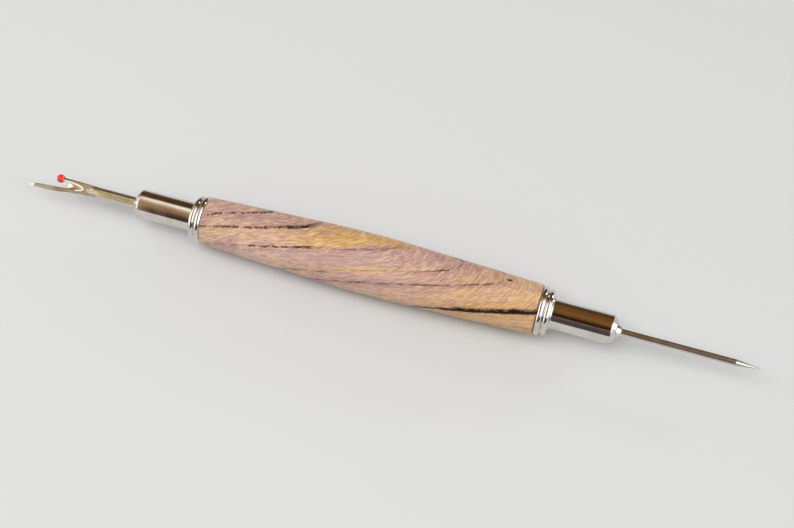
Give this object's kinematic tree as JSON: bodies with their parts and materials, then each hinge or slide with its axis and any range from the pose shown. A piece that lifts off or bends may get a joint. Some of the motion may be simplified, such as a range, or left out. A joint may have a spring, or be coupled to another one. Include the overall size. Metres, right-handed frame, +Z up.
{
  "type": "double-ended seam ripper and stiletto",
  "caption": "Turned wooden sewing tool with a seam ripper at one end and a stiletto at the other, each in a chromed holder that pulls out, turns and reverses.",
  "frame": {"origin": "under the middle of the whole length, on the surface the belly of the handle rests on", "axes": "+X along the tool toward the stiletto's point, +Z up"},
  "size_m": [0.1908, 0.0154, 0.0154],
  "materials": {
    "wood": "satin lacquered figured wood",
    "brass_tube": "drawn tube",
    "chrome": "polished chrome plate",
    "ripper_steel": "polished nickel-plated steel",
    "pin_steel": "ground and polished steel",
    "red_ball": "glossy red plastic",
    "rubber_ring": "matt black"
  },
  "bodies": {
    "handle": {"wood_barrel": "wood", "ripper_tube": "brass_tube", "stiletto_tube": "brass_tube", "ripper_coupler": "chrome", "stiletto_coupler": "chrome"},
    "ripper_grip": {"ripper_o_ring": "rubber_ring"},
    "ripper_tip": {"ripper_holder": "chrome", "ripper_blade": "ripper_steel", "ripper_ball": "red_ball"},
    "stiletto_grip": {"stiletto_o_ring": "rubber_ring"},
    "stiletto_tip": {"stiletto_holder": "chrome", "stiletto_bush": "chrome", "stiletto_pin": "pin_steel"}
  },
  "joints": [
    {"name": "ripper_turn", "type": "hinge", "parent": "handle", "child": "ripper_grip", "pos_m": [-0.04725, 0, 0.0077], "axis": [-1, 0, 0], "continuous": true},
    {"name": "ripper_pull", "type": "slide", "parent": "ripper_grip", "child": "ripper_tip", "axis": [-1, 0, 0], "range_m": [0, 0.016]},
    {"name": "stiletto_turn", "type": "hinge", "parent": "handle", "child": "stiletto_grip", "pos_m": [0.04235, 0, 0.0077], "axis": [1, 0, 0], "continuous": true},
    {"name": "stiletto_pull", "type": "slide", "parent": "stiletto_grip", "child": "stiletto_tip", "axis": [1, 0, 0], "range_m": [0, 0.016]}
  ]
}
